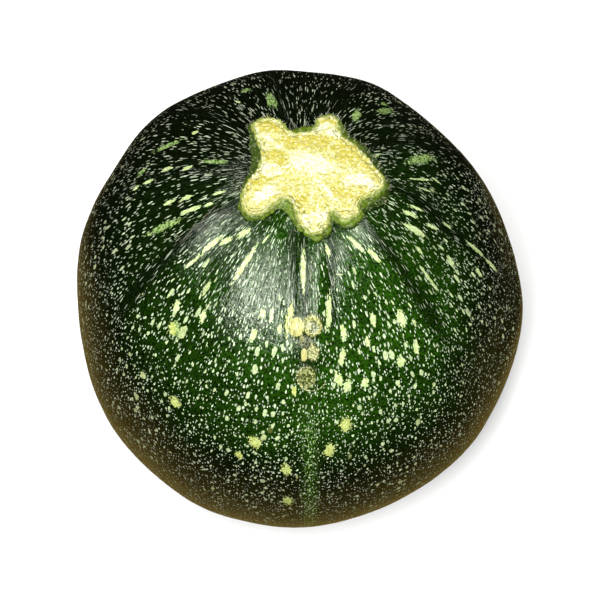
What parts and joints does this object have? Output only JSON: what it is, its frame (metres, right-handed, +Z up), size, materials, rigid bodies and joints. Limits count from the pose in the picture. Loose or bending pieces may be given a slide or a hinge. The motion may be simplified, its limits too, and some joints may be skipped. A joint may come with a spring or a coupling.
{
  "type": "round zucchini",
  "caption": "Round summer squash, nearly a sphere, softly ribbed and speckled, standing on a small flat blossom end with a short cut stem stub on top.",
  "frame": {"origin": "on the surface that the fruit stands on, under the middle of its bounding box", "axes": "+Z up along the stem's axis, -Y towards the side that shows the row of corky scars, +X to the right as seen from there"},
  "size_m": [0.0908, 0.0907, 0.0915],
  "materials": {
    "skin": "satin, with a waxy sheen and dense pale speckles",
    "stem": "moist cut face, fuzzy green flank"
  },
  "bodies": {
    "root": {"fruit": "skin", "stem_stub": "stem"}
  },
  "joints": []
}
